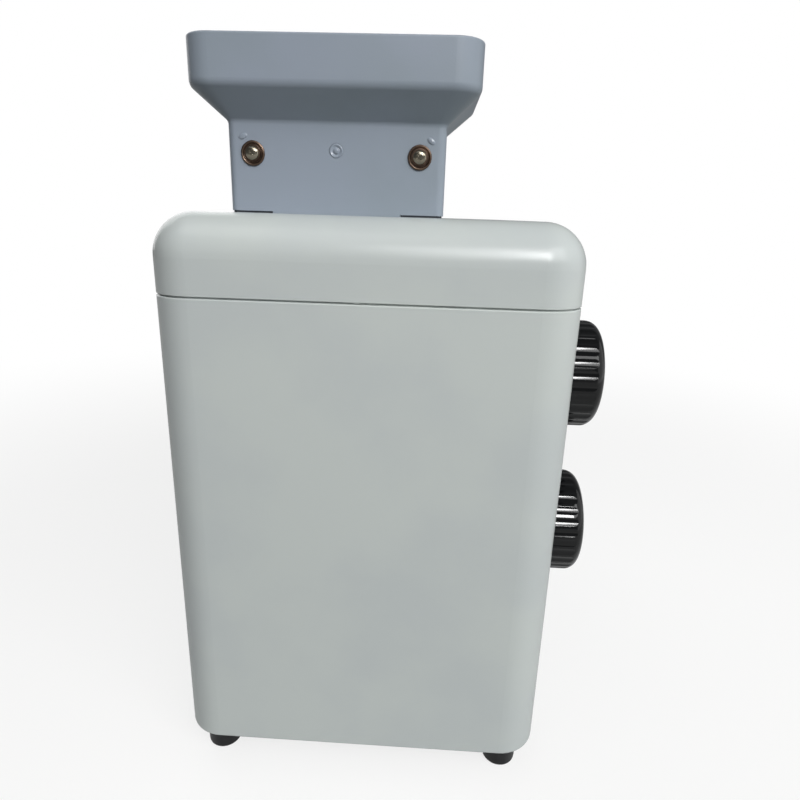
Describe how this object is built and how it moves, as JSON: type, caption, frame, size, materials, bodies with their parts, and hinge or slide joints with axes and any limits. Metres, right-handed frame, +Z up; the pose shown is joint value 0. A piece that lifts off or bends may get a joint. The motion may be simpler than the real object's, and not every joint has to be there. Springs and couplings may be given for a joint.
{
  "type": "rice huller",
  "caption": "Bench-top rubber-roll rice huller with a grey hopper, fluted side knobs, a lift-off cover, geared rolls, a husk fan and drawers for rice and husks.",
  "frame": {"origin": "on the surface that the feet stand on, under the middle of the machine's box", "axes": "+X to the operator's side with the knobs and drawers, -Y out of the broad front face, +Z up"},
  "size_m": [0.2228, 0.302, 0.3769],
  "materials": {
    "white_plastic": "glossy off-white moulded casing plastic",
    "grey_plastic": "semi-gloss blue-grey moulded ABS",
    "black_knob": "polished black phenolic moulding",
    "black_plastic": "black nylon",
    "drawer_plastic": "off-white moulded drawer plastic",
    "black_rubber": "black moulded rubber",
    "roll_rubber": "red-brown hulling rubber",
    "plated_steel": "zinc-plated sheet steel",
    "bright_steel": "turned bright steel",
    "dark_washer": "dark bronzed brass",
    "gear_steel": "machined gear steel",
    "spring_steel": "drawn spring wire",
    "cast_aluminium": "cast aluminium",
    "lamination_steel": "varnished laminations",
    "brass": "turned brass"
  },
  "bodies": {
    "chassis": {"body_shell": "white_plastic", "feet": "black_rubber", "foot_studs": "bright_steel", "foot_nuts": "bright_steel", "base_plate": "plated_steel", "front_plate": "plated_steel", "mid_plate": "plated_steel", "motor_plate": "plated_steel", "tie_rods": "bright_steel", "tie_rod_nuts": "bright_steel", "side_plate": "plated_steel", "side_plate_screws": "bright_steel", "knob_bushes": "brass", "bearing_housings": "cast_aluminium", "fast_bearings": "bright_steel", "drive_belt": "black_rubber", "pressure_spring": "spring_steel", "separation_chute": "plated_steel", "air_duct": "plated_steel", "fan_housing": "plated_steel", "motor_front_bell": "cast_aluminium", "motor_rear_bell": "cast_aluminium", "motor_stator": "lamination_steel", "motor_bolts": "bright_steel", "run_capacitor": "cast_aluminium", "capacitor_clip": "plated_steel", "switch_housing": "black_plastic", "power_inlet": "black_plastic", "fuse_holder": "black_plastic"},
    "cover": {"top_cover": "white_plastic", "hopper": "grey_plastic", "hopper_screws": "bright_steel", "hopper_washers": "dark_washer", "feed_funnel": "plated_steel"},
    "gate": {"feed_gate": "plated_steel"},
    "fast_roll": {"fast_shaft": "bright_steel", "fast_roll_core": "cast_aluminium", "fast_roll_sleeve": "roll_rubber", "fast_gear": "gear_steel", "fast_pulley": "cast_aluminium"},
    "carriage": {"roll_carriage": "cast_aluminium", "slow_bearings": "bright_steel", "gap_nut": "brass"},
    "slow_roll": {"slow_shaft": "bright_steel", "slow_roll_core": "cast_aluminium", "slow_roll_sleeve": "roll_rubber", "slow_gear": "gear_steel"},
    "gap_control": {"gap_knob": "black_knob", "gap_spindle": "bright_steel"},
    "air_control": {"air_knob": "black_knob", "shutter_shaft": "bright_steel", "air_shutter": "plated_steel"},
    "motor_rotor": {"motor_shaft": "bright_steel", "motor_pulley": "cast_aluminium", "fan_impeller": "black_plastic"},
    "rice_tray": {"rice_drawer": "drawer_plastic"},
    "husk_tray": {"husk_drawer": "drawer_plastic"},
    "rocker": {"switch_rocker": "black_plastic"}
  },
  "joints": [
    {"name": "cover_lift", "type": "slide", "parent": "chassis", "child": "cover", "axis": [0, 0, 1], "range_m": [0, 0.1]},
    {"name": "gate_slide", "type": "slide", "parent": "cover", "child": "gate", "axis": [0, 1, 0], "range_m": [0, 0.036]},
    {"name": "fast_roll_spin", "type": "hinge", "parent": "chassis", "child": "fast_roll", "pos_m": [-0.0549, -0.084, 0.221], "axis": [0, 1, 0], "continuous": true},
    {"name": "carriage_slide", "type": "slide", "parent": "chassis", "child": "carriage", "axis": [1, 0, 0], "range_m": [-0.0005, 0.0015], "deforming": ["pressure_spring"]},
    {"name": "slow_roll_spin", "type": "hinge", "parent": "carriage", "child": "slow_roll", "pos_m": [-0.0039, -0.084, 0.221], "axis": [0, 1, 0], "continuous": true},
    {"name": "gap_knob_turn", "type": "hinge", "parent": "chassis", "child": "gap_control", "pos_m": [0.0886, -0.084, 0.221], "axis": [1, 0, 0], "range_deg": [-120, 360]},
    {"name": "air_knob_turn", "type": "hinge", "parent": "chassis", "child": "air_control", "pos_m": [0.0886, -0.084, 0.12979], "axis": [1, 0, 0], "range_deg": [0, 90]},
    {"name": "motor_spin", "type": "hinge", "parent": "chassis", "child": "motor_rotor", "pos_m": [0.0226, 0, 0.12979], "axis": [0, 1, 0], "continuous": true},
    {"name": "rice_drawer_slide", "type": "slide", "parent": "chassis", "child": "rice_tray", "axis": [1, 0, 0], "range_m": [0, 0.14]},
    {"name": "husk_drawer_slide", "type": "slide", "parent": "chassis", "child": "husk_tray", "axis": [1, 0, 0], "range_m": [0, 0.14]},
    {"name": "switch_rock", "type": "hinge", "parent": "chassis", "child": "rocker", "pos_m": [0.0886, 0.049, 0.221], "axis": [0, 1, 0], "range_deg": [0, 14]}
  ],
  "couplings": [
    {"joint": "slow_roll_spin", "follows": "fast_roll_spin", "ratio": -0.78947},
    {"joint": "motor_spin", "follows": "fast_roll_spin", "ratio": 1.5},
    {"joint": "carriage_slide", "follows": "gap_knob_turn", "m_per_rad": 0.00023873}
  ]
}
